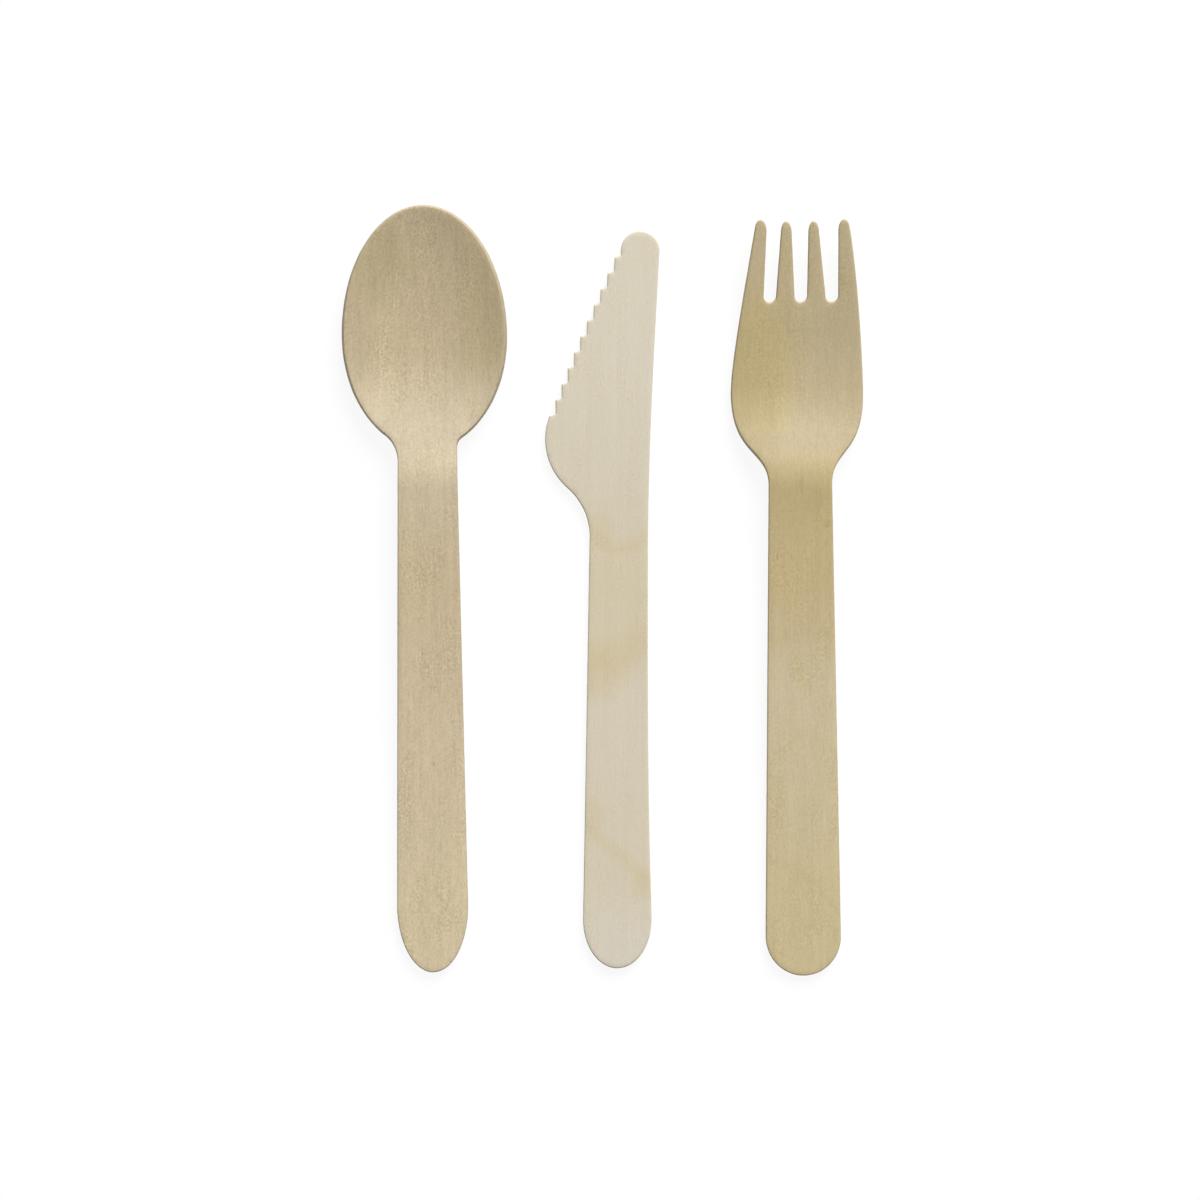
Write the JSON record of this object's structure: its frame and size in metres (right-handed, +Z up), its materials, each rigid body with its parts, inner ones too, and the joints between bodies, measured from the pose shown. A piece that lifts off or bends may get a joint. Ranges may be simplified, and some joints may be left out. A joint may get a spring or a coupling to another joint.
{
  "type": "wooden cutlery pack",
  "caption": "Flat-lying set of disposable birch cutlery: a pressed spoon with an oval bowl, a flat serrated knife and a pressed fork with tapering tines.",
  "frame": {"origin": "middle of the set's footprint, on the surface it lies on", "axes": "+X from the spoon to the fork, +Y from the handles to the tips, +Z up"},
  "size_m": [0.1088, 0.1608, 0.0058],
  "materials": {
    "spoon_birch": "dry, smooth birch veneer, warm beige with fine lengthwise grain",
    "knife_birch": "dry, smooth birch veneer, pale cream with a yellowish wavy figure",
    "fork_birch": "dry, smooth birch veneer, yellow beige with fine grain and small flecks"
  },
  "bodies": {
    "root": {"spoon": "spoon_birch", "knife": "knife_birch", "fork": "fork_birch"}
  },
  "joints": []
}
